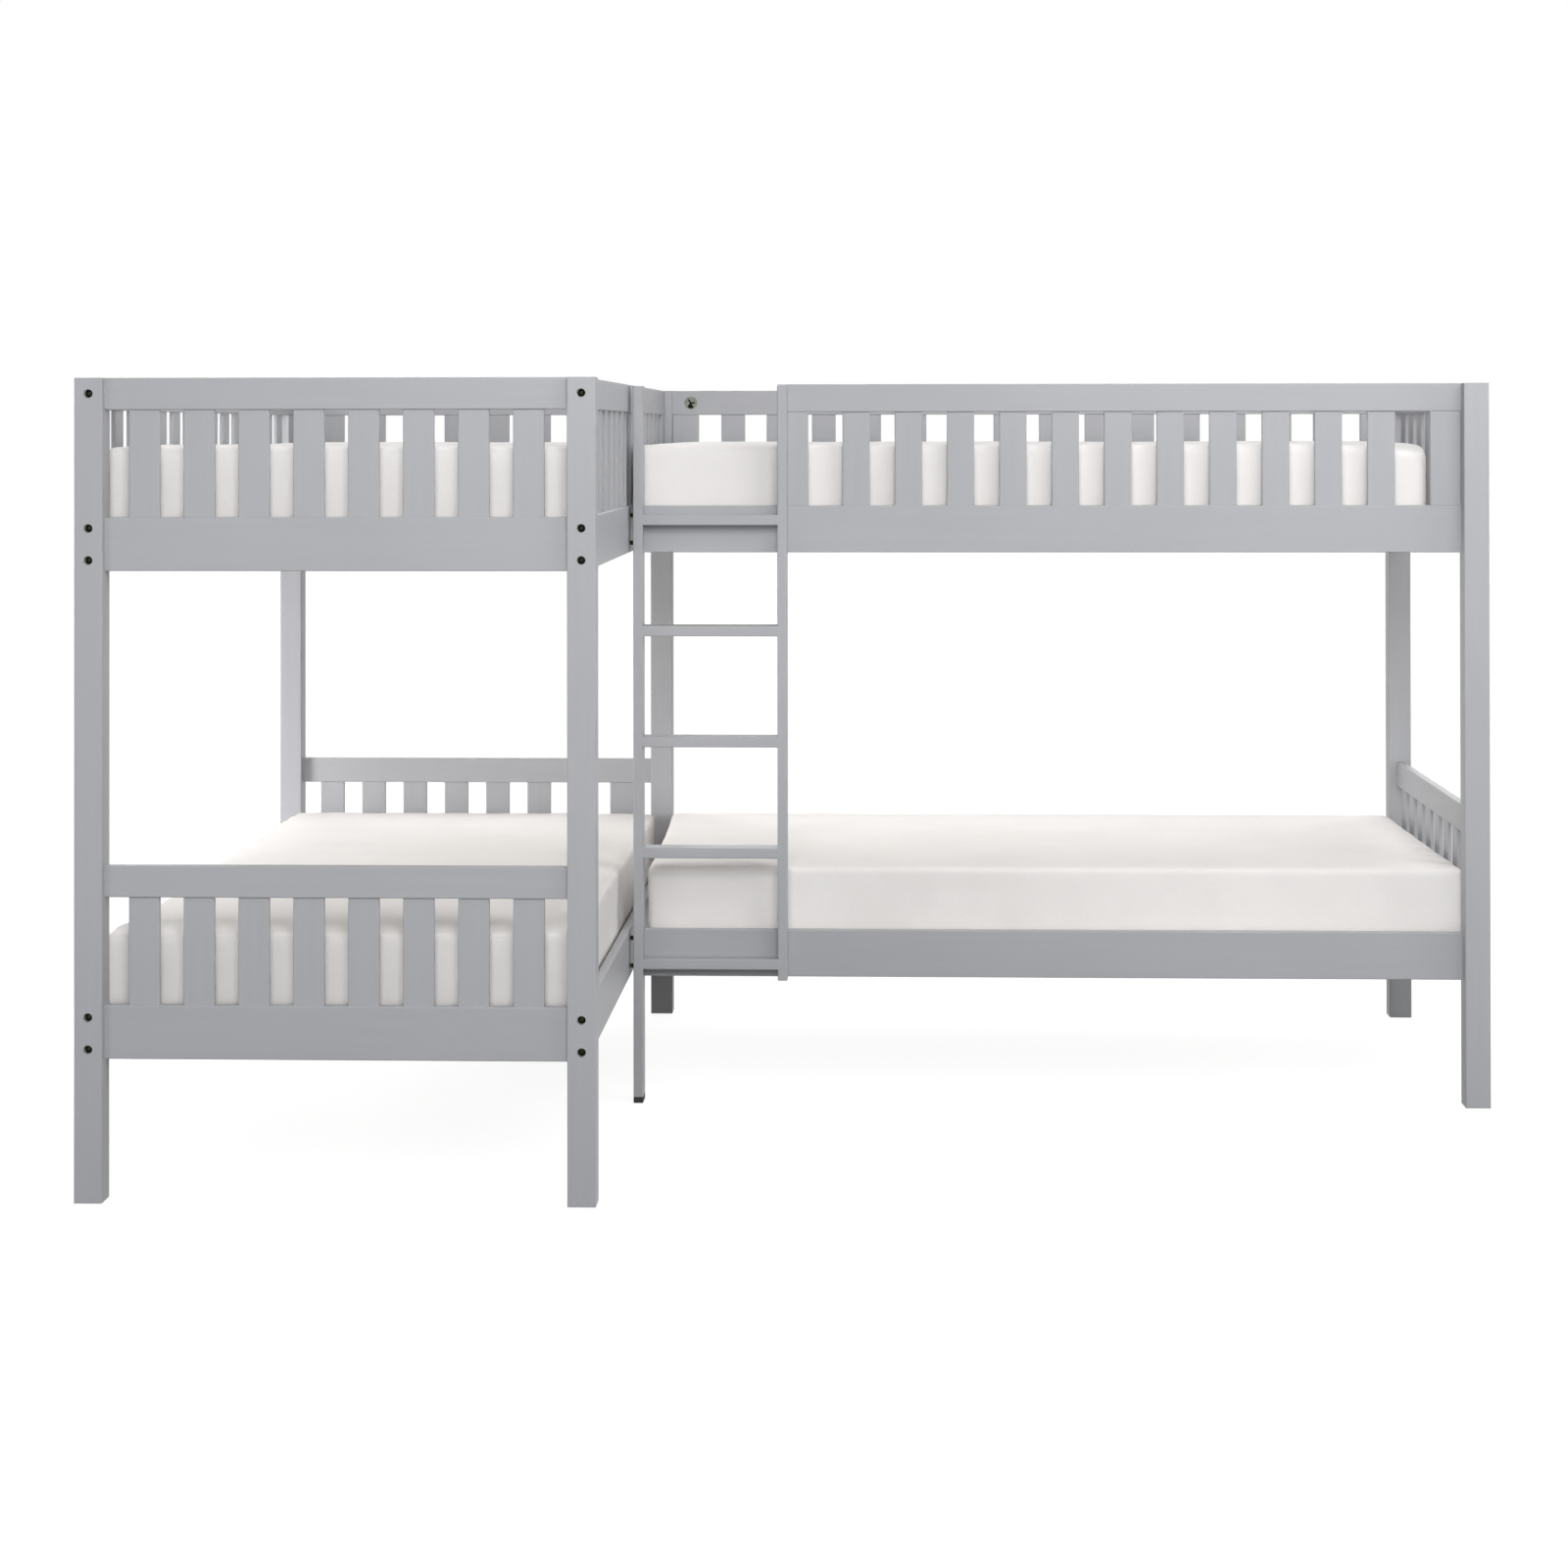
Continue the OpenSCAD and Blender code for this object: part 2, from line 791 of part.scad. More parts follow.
module ladder_screw(gap = 0) {
    translate([0, gap, 0]) rotate([90, 0, 0]) {
        cylinder(d1 = screw_head_d + 2 * gap, d2 = screw_d + 2 * gap, h = (screw_head_d - screw_d) / 2 + gap);
        cylinder(d = screw_d + 2 * gap, h = rail_t + screw_bite + gap);
    }
}

module ladder_screw_spaces() {
    at_ladder_screws() ladder_screw(fit_gap / 2);
}

module ladder_screws() {
    color(zinc) place() at_ladder_screws() ladder_screw();
}

// ------------------------------------------------------------------- bases

// Bearer along a rail's inner face, drawn in the rail's own placement.
module bearer(len, from = bearer_inset) {
    for (z = rail_levels)
        translate([from, -rail_t / 2 - bearer_t, z + bearer_z]) cube([len, bearer_t, bearer_h]);
}

module bearer_strips() {
    color(bare_wood) place() {
        on_outer_side() bearer(bearer_len);
        on_inner_side() bearer(bearer_len);
        on_rear() bearer(bearer_len);
        translate([left_bunk_w + side_rail_len, front_rail_y, 0]) mirror([0, 1, 0]) mirror([1, 0, 0])
            bearer(bearer_len);
    }
}

// Base boards across the bearers, drawn along X from the first to the last.
module base_boards(span) {
    step = (bearer_len - board_w) / (board_count - 1);
    for (i = [0 : board_count - 1])
        translate([bearer_inset + i * step, soft_gap, base_z - board_t]) cube([board_w, span - 2 * soft_gap, board_t]);
}

module left_base_boards(z) {
    color(bare_wood) place() translate([left_bunk_w - post_w / 2 - rail_t / 2, post_w, z])
        rotate([0, 0, 90]) base_boards(left_base_w);
}

module right_base_boards(z) {
    color(bare_wood) place() translate([left_bunk_w, front_rail_y + rail_t / 2, z]) base_boards(right_base_d);
}

// -------------------------------------------------------------- mattresses

// One ring of a mattress: a rounded rectangle drawn in by inset, at height z.
corner_steps = 6;
side_steps = 6;

// 0 at half height and below, 1 at the upper edge.
function near_top(z) = pow(min(1, max(0, 2 * z / mattress_h - 1)), 2);

// How far a corner's point hangs down, turned by a from the corner's start.
function corner_drop(inset, z, a) =
    mattress_droop * near_top(z) * pow(max(0, 1 - inset / (2 * mattress_corner_r)), 2) * pow(sin(2 * a), 2);

function ring_corner(hx, hy, r, q, inset, z) =
    let (cx = (q == 0 || q == 3 ? 1 : -1) * (hx - r), cy = (q < 2 ? 1 : -1) * (hy - r))
    [for (i = [0 : corner_steps]) let (a = 90 * i / corner_steps)
        [cx + r * cos(90 * q + a), cy + r * sin(90 * q + a), z - corner_drop(inset, z, a)]];

// Points between the end of one corner and the start of the next.
function ring_side(a, b) =
    [for (i = [1 : side_steps - 1]) a + (b - a) * i / side_steps];

function ring(inset, z) =
    let (
        hx = mattress_len / 2 - inset,
        hy = mattress_w / 2 - inset,
        r = max(mattress_corner_r + mattress_corner_soft * near_top(z) - inset, mattress_corner_r / 4),
        corners = [for (q = [0 : 3]) ring_corner(hx, hy, r, q, inset, z)]
    )
    [for (q = [0 : 3]) each concat(corners[q], ring_side(corners[q][corner_steps], corners[(q + 1) % 4][0]))];

// Side profile from the underside up, as [inset, height] pairs: soft edge,
// seam, a side that swells at half height, seam, soft edge, then the crown.
soft_edge = [for (a = [0 : 30 : 60]) mattress_edge_r * (1 - sin(a))];
half_side = mattress_h / 2 - mattress_edge_r - 2 * seam_r;

function swell_inset(f) = seam_r + mattress_swell * (1 - cos(90 * (1 - f)));

side_profile = concat(
    [[mattress_edge_r * 2.2, 0]],
    [for (a = [0, 45]) [mattress_edge_r + seam_r - mattress_edge_r * sin(a), mattress_edge_r * (1 - cos(a))]],
    [[seam_r * 1.4, mattress_edge_r], [0.6, mattress_edge_r + seam_r], [seam_r * 1.4, mattress_edge_r + 2 * seam_r]],
    [for (f = [0.35, 0.7]) [swell_inset(f) * 0.6 - seam_r * 0.4, mattress_edge_r + 2 * seam_r + f * half_side]],
    [[0.2, mattress_h / 2]]);

upper_profile = [for (i = [len(side_profile) - 2 : -1 : 1]) [side_profile[i][0], mattress_h - side_profile[i][1]]];

crown_insets = [mattress_edge_r * 2.2, 45, 110, 210, 330];
crown_profile = [for (s = crown_insets)
    [s, mattress_h + mattress_crown * (1 - pow(1 - min(1, s / (mattress_w / 2)), 2.5))]];

profile = concat(side_profile, upper_profile, crown_profile);
ring_size = 4 * (corner_steps + side_steps);

module mattress() {
    rings = [for (p = profile) ring(p[0], p[1])];
    points = concat([for (r = rings) each r], [[0, 0, 0], [0, 0, mattress_h + mattress_crown]]);
    top_start = (len(rings) - 1) * ring_size;
    centre = len(rings) * ring_size;
    walls = [for (k = [0 : len(rings) - 2], i = [0 : ring_size - 1])
        let (a = k * ring_size + i, b = k * ring_size + (i + 1) % ring_size)
        each [[a, b + ring_size, b], [a, a + ring_size, b + ring_size]]];
    bottom = [for (i = [0 : ring_size - 1]) [i, (i + 1) % ring_size, centre]];
    top = [for (i = [0 : ring_size - 1]) [top_start + (i + 1) % ring_size, top_start + i, centre + 1]];
    polyhedron(points = points, faces = concat(walls, bottom, top));
}

// Middle of a mattress that lies in each bunk, at the given rail level.
module left_mattress(z) {
    color(ticking) place() translate([left_bunk_w / 2, total_d / 2, z + base_z + soft_gap])
        rotate([0, 0, 90]) mattress();
}

module right_mattress(z, gap) {
    color(ticking) place() translate([inner_x + rail_t / 2 + gap + mattress_len / 2,
        (front_rail_y + rear_rail_y) / 2, z + base_z + soft_gap]) mattress();
}

// ---------------------------------------------------------------- hardware

module frame_bolts() {
    color(dark_steel) place() {
        on_outer_side() rail_end_bolts(side_rail_len, all_bolt_z);
        on_inner_side() rail_end_bolts(side_rail_len, all_bolt_z);
        on_rear() rail_end_bolts(side_rail_len, all_bolt_z, left = false);
        on_front() rail_end_bolts(front_rail_len, all_bolt_z, right = false);
        link_bolts();
    }
}

module barrel_nuts() {
    color(zinc) place() {
        on_outer_side() rail_end_nuts(side_rail_len, all_bolt_z);
        on_inner_side() rail_end_nuts(side_rail_len, all_bolt_z);
        on_rear() rail_end_nuts(side_rail_len, all_bolt_z, left = false);
        on_front() rail_end_nuts(front_rail_len, all_bolt_z, right = false);
        link_nuts();
    }
}

module cam_housings() {
    color(zinc) place() on_rear() for (z = cam_levels) translate([0, 0, z]) cam_housing();
}

// Bolts screwed into the corner post, their ends held by the cams.
module cam_bolts() {
    color(zinc) place() on_rear() for (z = cam_levels)
        translate([-cam_bolt_depth, 0, z]) rod_x(cam_bolt_d, cam_bolt_depth + cam_setback - 2);
}

// ------------------------------------------------------------------- nodes

post_front_left();
post_front_middle();
post_rear_left();
post_corner();
post_front_right();
post_rear_right();
left_front_top_rail(upper_rail_z);  // left_front_upper_top_rail
left_front_slats(upper_rail_z);  // left_front_upper_slats
left_front_lower_rail(upper_rail_z);  // left_front_upper_lower_rail
left_front_top_rail(lower_rail_z);  // left_front_lower_top_rail
left_front_slats(lower_rail_z);  // left_front_lower_slats
left_front_lower_rail(lower_rail_z);  // left_front_lower_lower_rail
left_rear_top_rail(upper_rail_z);  // left_rear_upper_top_rail
left_rear_slats(upper_rail_z);  // left_rear_upper_slats
left_rear_lower_rail(upper_rail_z);  // left_rear_upper_lower_rail
left_rear_top_rail(lower_rail_z);  // left_rear_lower_top_rail
left_rear_slats(lower_rail_z);  // left_rear_lower_slats
left_rear_lower_rail(lower_rail_z);  // left_rear_lower_lower_rail
right_end_top_rail(upper_rail_z);  // right_end_upper_top_rail
right_end_slats(upper_rail_z);  // right_end_upper_slats
right_end_lower_rail(upper_rail_z);  // right_end_upper_lower_rail
right_end_top_rail(lower_rail_z);  // right_end_lower_top_rail
right_end_slats(lower_rail_z);  // right_end_lower_slats
right_end_lower_rail(lower_rail_z);  // right_end_lower_lower_rail
outer_guard_top_rail();
outer_guard_slats();
outer_side_rail(upper_rail_z, side_rail_len);  // outer_upper_side_rail
outer_side_rail(lower_rail_z);  // outer_lower_side_rail
inner_guard_top_rail();
inner_guard_slats();
inner_side_rail(upper_rail_z, side_rail_len);  // inner_upper_side_rail
inner_side_rail(lower_rail_z);  // inner_lower_side_rail
rear_guard_top_rail();
rear_guard_slats();
rear_side_rail(upper_rail_z, side_rail_len);  // rear_upper_side_rail
rear_side_rail(lower_rail_z);  // rear_lower_side_rail
front_guard_top_rail();
front_guard_slats();
front_side_rail(upper_rail_z, front_guard_len);  // front_upper_side_rail
front_side_rail(lower_rail_z);  // front_lower_side_rail
ladder_long_upright();
ladder_short_upright();
ladder_rungs();
ladder_foot_pad();
ladder_screws();
bearer_strips();
left_base_boards(upper_rail_z);  // left_upper_base_boards
left_base_boards(lower_rail_z);  // left_lower_base_boards
right_base_boards(upper_rail_z);  // right_upper_base_boards
right_base_boards(lower_rail_z);  // right_lower_base_boards
left_mattress(upper_rail_z);  // left_upper_mattress
left_mattress(lower_rail_z);  // left_lower_mattress
right_mattress(upper_rail_z, upper_right_gap);  // right_upper_mattress
right_mattress(lower_rail_z, lower_right_gap);  // right_lower_mattress
frame_bolts();
barrel_nuts();
cam_housings();
cam_bolts();
link_spacers();
end_rail_dowels();
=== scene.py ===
"""An L shaped bunk bed in grey paint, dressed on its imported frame.

The left bunk runs back from the viewer and the right bunk runs to the right
behind it. All lengths are in metres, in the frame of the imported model.
"""

from __future__ import annotations

import json
import logging
import math
from dataclasses import dataclass
from enum import Enum
from typing import Sequence

import bmesh
import bpy
from mathutils import Matrix, Vector, noise

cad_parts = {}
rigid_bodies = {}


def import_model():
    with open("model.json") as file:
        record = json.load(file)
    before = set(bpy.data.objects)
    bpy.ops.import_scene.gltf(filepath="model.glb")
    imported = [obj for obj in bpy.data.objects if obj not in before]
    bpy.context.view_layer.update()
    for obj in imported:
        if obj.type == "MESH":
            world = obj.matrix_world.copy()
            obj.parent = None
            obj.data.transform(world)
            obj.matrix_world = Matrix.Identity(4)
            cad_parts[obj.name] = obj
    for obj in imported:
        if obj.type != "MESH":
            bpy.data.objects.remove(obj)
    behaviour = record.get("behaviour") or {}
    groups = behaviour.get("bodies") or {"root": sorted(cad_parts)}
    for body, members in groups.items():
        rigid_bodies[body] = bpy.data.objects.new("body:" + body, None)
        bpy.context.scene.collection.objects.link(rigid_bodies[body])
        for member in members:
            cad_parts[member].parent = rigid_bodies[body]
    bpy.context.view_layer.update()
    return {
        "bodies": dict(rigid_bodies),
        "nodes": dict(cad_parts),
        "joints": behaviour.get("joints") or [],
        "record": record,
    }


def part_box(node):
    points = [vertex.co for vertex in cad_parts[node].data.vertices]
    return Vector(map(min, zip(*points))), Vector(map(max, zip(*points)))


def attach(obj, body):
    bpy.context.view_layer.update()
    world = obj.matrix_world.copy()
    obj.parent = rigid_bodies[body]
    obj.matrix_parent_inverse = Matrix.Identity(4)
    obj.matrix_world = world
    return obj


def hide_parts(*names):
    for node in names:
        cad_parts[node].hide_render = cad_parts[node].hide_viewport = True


LOG = logging.getLogger("bunk_bed")
BODY = "root"

# Sockets of a Mix node that mixes colours.
MIX_FACTOR, MIX_LOW, MIX_HIGH, MIX_RESULT = 0, 6, 7, 2
# Most of a noise's values lie in this span.
NOISE_SPAN = (0.3, 0.7)
# Ends of an edge that differ less in height lie level, in metres.
LEVEL = 1e-6
# An edge between faces that meet at a greater angle is a rim, in radians.
FOLD = 0.5
# A point further below the middle than this share of the half height is on the base.
BASE_SHARE = 0.99
# Where the first mattress's noise starts, and how much later each next one's.
SEED_START, SEED_STEP = 1.3, 3.7
# How rumpled the rims are, of the slept-in mattress and of the others.
RUMPLED, NEAT = 1.0, 0.35

Colour = tuple[float, float, float]
Value = "Wire | float | Sequence[float]"


def from_screen(red: int, green: int, blue: int) -> Colour:
    """Linear colour of a screen colour in 0 to 255, by the sRGB curve."""
    levels = [channel / 255 for channel in (red, green, blue)]
    return tuple(
        level / 12.92 if level <= 0.04045 else ((level + 0.055) / 1.055) ** 2.4
        for level in levels
    )


# ------------------------------------------------------------------ shader nodes


class Wire:
    """An output socket that can be used in plain arithmetic."""

    def __init__(self, bench: "Bench", socket: bpy.types.NodeSocket) -> None:
        """Wraps a socket of a bench's tree."""
        self.bench = bench
        self.socket = socket

    def math(self, operation: str, *others: Value) -> "Wire":
        """A Math node on this value and the others."""
        values = dict(enumerate((self, *others)))
        return self.bench.wire("ShaderNodeMath", {"operation": operation}, values)

    def __add__(self, other: Value) -> "Wire":
        """self + other."""
        return self.math("ADD", other)

    def __radd__(self, other: Value) -> "Wire":
        """other + self."""
        return self.math("ADD", other)

    def __sub__(self, other: Value) -> "Wire":
        """self - other."""
        return self.math("SUBTRACT", other)

    def __rsub__(self, other: Value) -> "Wire":
        """other - self."""
        values = {0: other, 1: self}
        return self.bench.wire("ShaderNodeMath", {"operation": "SUBTRACT"}, values)

    def __mul__(self, other: Value) -> "Wire":
        """self * other."""
        return self.math("MULTIPLY", other)

    def smooth(self, low: float, high: float) -> "Wire":
        """0 below low, 1 above high and a smooth step between."""
        values = {"Value": self, "From Min": low, "From Max": high}
        return self.bench.wire(
            "ShaderNodeMapRange", {"interpolation_type": "SMOOTHSTEP"}, values
        )


class Bench:
    """Builds the nodes of one material or world."""

    def __init__(self, tree: bpy.types.NodeTree) -> None:
        """Starts on an emptied tree."""
        self.tree = tree
        tree.nodes.clear()

    def node(self, kind: str, settings: dict, values: dict) -> bpy.types.Node:
        """Adds a node.

        Args:
            kind: the node's type.
            settings: its properties, set first.
            values: its input values or wires, by socket name or number.

        Returns:
            The new node.
        """
        made = self.tree.nodes.new(kind)
        for name, setting in settings.items():
            setattr(made, name, setting)
        for name, value in values.items():
            if isinstance(value, Wire):
                self.tree.links.new(value.socket, made.inputs[name])
            else:
                made.inputs[name].default_value = value
        return made

    def wire(self, kind: str, settings: dict, values: dict, out: str | int = 0) -> Wire:
        """Adds a node and returns one of its outputs."""
        return Wire(self, self.node(kind, settings, values).outputs[out])

    def place(self, scale: Sequence[float] = (1, 1, 1)) -> Wire:
        """Object coordinates, scaled along each axis."""
        coords = self.wire("ShaderNodeTexCoord", {}, {}, "Object")
        return self.wire("ShaderNodeMapping", {}, {"Vector": coords, "Scale": scale})

    def noise(self, where: Wire, scale: float, detail: float = 2.0, rough: float = 0.5) -> Wire:
        """Noise from about 0.2 to 0.8."""
        values = {"Vector": where, "Scale": scale, "Detail": detail, "Roughness": rough}
        return self.wire("ShaderNodeTexNoise", {}, values)

    def blend(self, factor: Value, low: Value, high: Value) -> Wire:
        """Colour from low to high."""
        low, high = ((*c, 1.0) if isinstance(c, tuple) else c for c in (low, high))
        values = {MIX_FACTOR: factor, MIX_LOW: low, MIX_HIGH: high}
        return self.wire("ShaderNodeMix", {"data_type": "RGBA"}, values, MIX_RESULT)

    def bump(self, height: Wire, strength: float, depth: float) -> Wire:
        """Normal of a relief, whose full height is depth in metres."""
        values = {"Height": height, "Strength": strength, "Distance": depth}
        return self.wire("ShaderNodeBump", {}, values)

    def surface(self, values: dict) -> None:
        """Ends a material in one Principled shader."""
        shader = self.wire("ShaderNodeBsdfPrincipled", {}, values)
        self.node("ShaderNodeOutputMaterial", {}, {"Surface": shader})


class Finish:
    """A material that is made once and then shared."""

    label: str

    def dress(self, bench: Bench) -> None:
        """Builds the nodes."""
        raise NotImplementedError

    def material(self) -> bpy.types.Material:
        """The finish's material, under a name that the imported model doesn't use."""
        name = f"{self.label}_finish"
        made = bpy.data.materials.get(name)
        if made is None:
            made = bpy.data.materials.new(name)
            made.use_nodes = True
            self.dress(Bench(made.node_tree))
        return made

    def put_on(self, piece: bpy.types.Object) -> None:
        """Gives a piece this finish alone."""
        piece.data.materials.clear()
        piece.data.materials.append(self.material())


class Grain(Enum):
    """The axis that a board's grain runs along, as its stretch per axis."""

    ALONG_X = (0.05, 1.0, 1.0)
    ALONG_Y = (1.0, 0.05, 1.0)
    ALONG_Z = (1.0, 1.0, 0.05)


@dataclass(frozen=True)
class GreyPaint(Finish):
    """Satin grey paint on wood: faint grain and brush lines show through."""

    grain: Grain
    colour: Colour = from_screen(177, 178, 182)
    shade: Colour = from_screen(173, 174, 178)
    roughness: float = 0.46
    uneven: float = 0.24
    streak_scale: float = 55.0
    pore_scale: float = 320.0
    mottle_scale: float = 2.3
    pore_share: float = 0.45
    specular: float = 0.4
    relief_strength: float = 0.035
    relief_depth: float = 0.0012

    @property
    def label(self) -> str:
        """A name for each grain."""
        return f"grey_paint_{self.grain.name.lower()}"

    def dress(self, bench: Bench) -> None:
        """Streaks along the grain, a slow mottle and a fine relief."""
        along = bench.place(self.grain.value)
        streaks = bench.noise(along, self.streak_scale, detail=3.0, rough=0.6)
        pores = bench.noise(along, self.pore_scale, rough=0.7)
        mottle = bench.noise(bench.place(), self.mottle_scale)
        tone = (streaks * 0.5 + mottle * 0.5).smooth(*NOISE_SPAN)
        relief = streaks * (1.0 - self.pore_share) + pores * self.pore_share
        bench.surface({
            "Base Color": bench.blend(tone, self.shade, self.colour),
            "Roughness": self.roughness - self.uneven / 2 + pores * self.uneven,
            "Specular IOR Level": self.specular,
            "Normal": bench.bump(relief, self.relief_strength, self.relief_depth),
        })


@dataclass(frozen=True)
class BarePine(Finish):
    """Planed, unpainted softwood with soft growth lines."""

    grain: Grain
    pale: Colour = from_screen(232, 226, 214)
    deep: Colour = from_screen(218, 208, 192)
    roughness: float = 0.55
    uneven: float = 0.2
    line_scale: float = 34.0
    lines_per_noise: float = 9.0
    pore_scale: float = 260.0
    line_tone: float = 0.6
    pore_tone: float = 0.25
    line_relief: float = 0.3
    specular: float = 0.3
    relief_strength: float = 0.25
    relief_depth: float = 0.0008

    @property
    def label(self) -> str:
        """A name for each grain."""
        return f"bare_pine_{self.grain.name.lower()}"

    def dress(self, bench: Bench) -> None:
        """Growth lines from stretched noise, and short pores."""
        along = bench.place(self.grain.value)
        lines = bench.noise(along, self.line_scale, detail=4.0, rough=0.65)
        pores = bench.noise(along, self.pore_scale, rough=0.6)
        bands = (lines * self.lines_per_noise).math("SINE") * 0.5 + 0.5
        tone = bands * self.line_tone + pores * self.pore_tone
        relief = bands * self.line_relief + pores
        bench.surface({
            "Base Color": bench.blend(tone, self.pale, self.deep),
            "Roughness": self.roughness + pores * self.uneven,
            "Specular IOR Level": self.specular,
            "Normal": bench.bump(relief, self.relief_strength, self.relief_depth),
        })


@dataclass(frozen=True)
class Ticking(Finish):
    """Plain white mattress cover with a fine weave and two sewn seams.

    It reads the cover's attribute "lie", a point's place on the cover before
    it creases, on the mattress's own axes, so that weave and seams follow it.
    """

    label: str = "ticking"
    pale: Colour = from_screen(251, 248, 246)
    deep: Colour = from_screen(245, 242, 240)
    thread: float = 0.0021
    seam_height: float = 0.070
    seam_width: float = 0.0016
    stitch: float = 0.0046
    slub_scale: float = 190.0
    mottle_scale: float = 5.0
    slub_tone: float = 0.4
    weave_relief: float = 0.1
    slub_relief: float = 0.8
    groove_relief: float = 1.4
    stitch_relief: float = 0.35
    # How strongly painted shade darkens the colour in the seam's groove.
    seam_shade: float = 0.7
    roughness: float = 0.84
    uneven: float = 0.12
    specular: float = 0.22
    sheen: float = 0.18
    sheen_roughness: float = 0.5
    relief_strength: float = 0.35
    relief_depth: float = 0.0009

    def dress(self, bench: Bench) -> None:
        """Crossed threads in all three directions, a slow mottle and the seams."""
        where = bench.wire("ShaderNodeAttribute", {"attribute_name": "lie"}, {}, "Vector")
        parts = bench.node("ShaderNodeSeparateXYZ", {}, {0: where})
        along_x, along_y, height = (Wire(bench, out) for out in parts.outputs)
        turns = 2 * math.pi / self.thread
        waves = [(way * turns).math("SINE") for way in (along_x, along_y, height)]
        weave = waves[0] * waves[1] + waves[1] * waves[2] + waves[2] * waves[0]
        slubs = bench.noise(where, self.slub_scale, rough=0.6)
        mottle = bench.noise(where, self.mottle_scale, detail=3.0, rough=0.55)
        off_seam = (height.math("ABSOLUTE") - self.seam_height).math("ABSOLUTE")
        groove = 1.0 - off_seam.smooth(0.0, self.seam_width)
        stitches = ((along_x + along_y) * (2 * math.pi / self.stitch)).math("SINE")
        threads = weave * self.weave_relief + slubs * self.slub_relief
        relief = threads - groove * self.groove_relief + groove * stitches * self.stitch_relief
        blotch = mottle * (1.0 - self.slub_tone) + slubs * self.slub_tone
        tone = blotch.smooth(*NOISE_SPAN)
        # Painted shade: along the seam's groove the colour is drawn towards the deeper tone.
        shade = 1.0 - groove * self.seam_shade
        bench.surface({
            "Base Color": bench.blend(tone * shade, self.deep, self.pale),
            "Roughness": self.roughness + slubs * self.uneven,
            "Specular IOR Level": self.specular,
            "Sheen Weight": self.sheen,
            "Sheen Roughness": self.sheen_roughness,
            "Normal": bench.bump(relief, self.relief_strength, self.relief_depth),
        })


@dataclass(frozen=True)
class Metal(Finish):
    """Turned steel: a worn sheen with fine brush marks."""

    label: str
    colour: Colour
    roughness: float
    uneven: float = 0.2
    tarnish: float = 0.72
    rub_scale: float = 900.0
    cloud_scale: float = 120.0
    relief_strength: float = 0.15
    relief_depth: float = 0.0002

    def dress(self, bench: Bench) -> None:
        """Fine uneven polish."""
        where = bench.place()
        rub = bench.noise(where, self.rub_scale, detail=3.0, rough=0.6)
        cloud = bench.noise(where, self.cloud_scale).smooth(*NOISE_SPAN)
        dark = tuple(self.tarnish * channel for channel in self.colour)
        bench.surface({
            "Base Color": bench.blend(cloud, dark, self.colour),
            "Metallic": 1.0,
            "Roughness": self.roughness - self.uneven / 2 + rub * self.uneven,
            "Normal": bench.bump(rub, self.relief_strength, self.relief_depth),
        })


@dataclass(frozen=True)
class CamZinc(Finish):
    """Cast zinc of a cam: dull on its face, with painted shade down in its driver slots.

    Every cam's face looks to the front, at one place along Y.
    """

    face: float
    label: str = "cam_zinc"
    plate: Colour = from_screen(146, 151, 136)
    worn: Colour = from_screen(122, 127, 114)
    # Painted shade: the near black colour given to the driver slots, from slot_start to slot_depth
    # behind the face.
    painted_slot_shade: Colour = from_screen(14, 15, 13)
    slot_start: float = 0.0003
    slot_depth: float = 0.0009
    metallic: float = 0.3
    specular: float = 0.12
    roughness: float = 0.5
    uneven: float = 0.2
    grain_scale: float = 900.0
    cloud_scale: float = 150.0
    relief_strength: float = 0.2
    relief_depth: float = 0.0002

    def dress(self, bench: Bench) -> None:
        """A cloudy plate, and painted shade: a dark tone that grows with the depth into the slots.
        """
        where = bench.place()
        parts = bench.node("ShaderNodeSeparateXYZ", {}, {0: where})
        depth = Wire(bench, parts.outputs[1]) - self.face
        grain = bench.noise(where, self.grain_scale, detail=3.0, rough=0.6)
        cloud = bench.noise(where, self.cloud_scale).smooth(*NOISE_SPAN)
        plate = bench.blend(cloud, self.worn, self.plate)
        # Painted shade: the slots get darker the deeper they lie behind the face.
        slot = depth.smooth(self.slot_start, self.slot_depth)
        bench.surface({
            "Base Color": bench.blend(slot, plate, self.painted_slot_shade),
            "Metallic": self.metallic,
            "Specular IOR Level": self.specular,
            "Roughness": self.roughness + grain * self.uneven,
            "Normal": bench.bump(grain, self.relief_strength, self.relief_depth),
        })


@dataclass(frozen=True)
class BlackRubber(Finish):
    """Matt black rubber with a pebbled skin."""

    label: str = "black_rubber"
    colour: Colour = from_screen(30, 30, 32)
    worn: Colour = from_screen(44, 44, 46)
    pebble_scale: float = 700.0
    roughness: float = 0.72
    uneven: float = 0.15
    relief_strength: float = 0.3
    relief_depth: float = 0.0004

    def dress(self, bench: Bench) -> None:
        """Pebbles, paler where they are worn."""
        pebbles = bench.noise(bench.place(), self.pebble_scale)
        bench.surface({
            "Base Color": bench.blend(pebbles, self.colour, self.worn),
            "Roughness": self.roughness + pebbles * self.uneven,
            "Normal": bench.bump(pebbles, self.relief_strength, self.relief_depth),
        })


DARK_STEEL = Metal("dark_steel", from_screen(40, 43, 27), 0.38)
ZINC = Metal("zinc", from_screen(176, 178, 168), 0.40)


# --------------------------------------------------------------------- frame


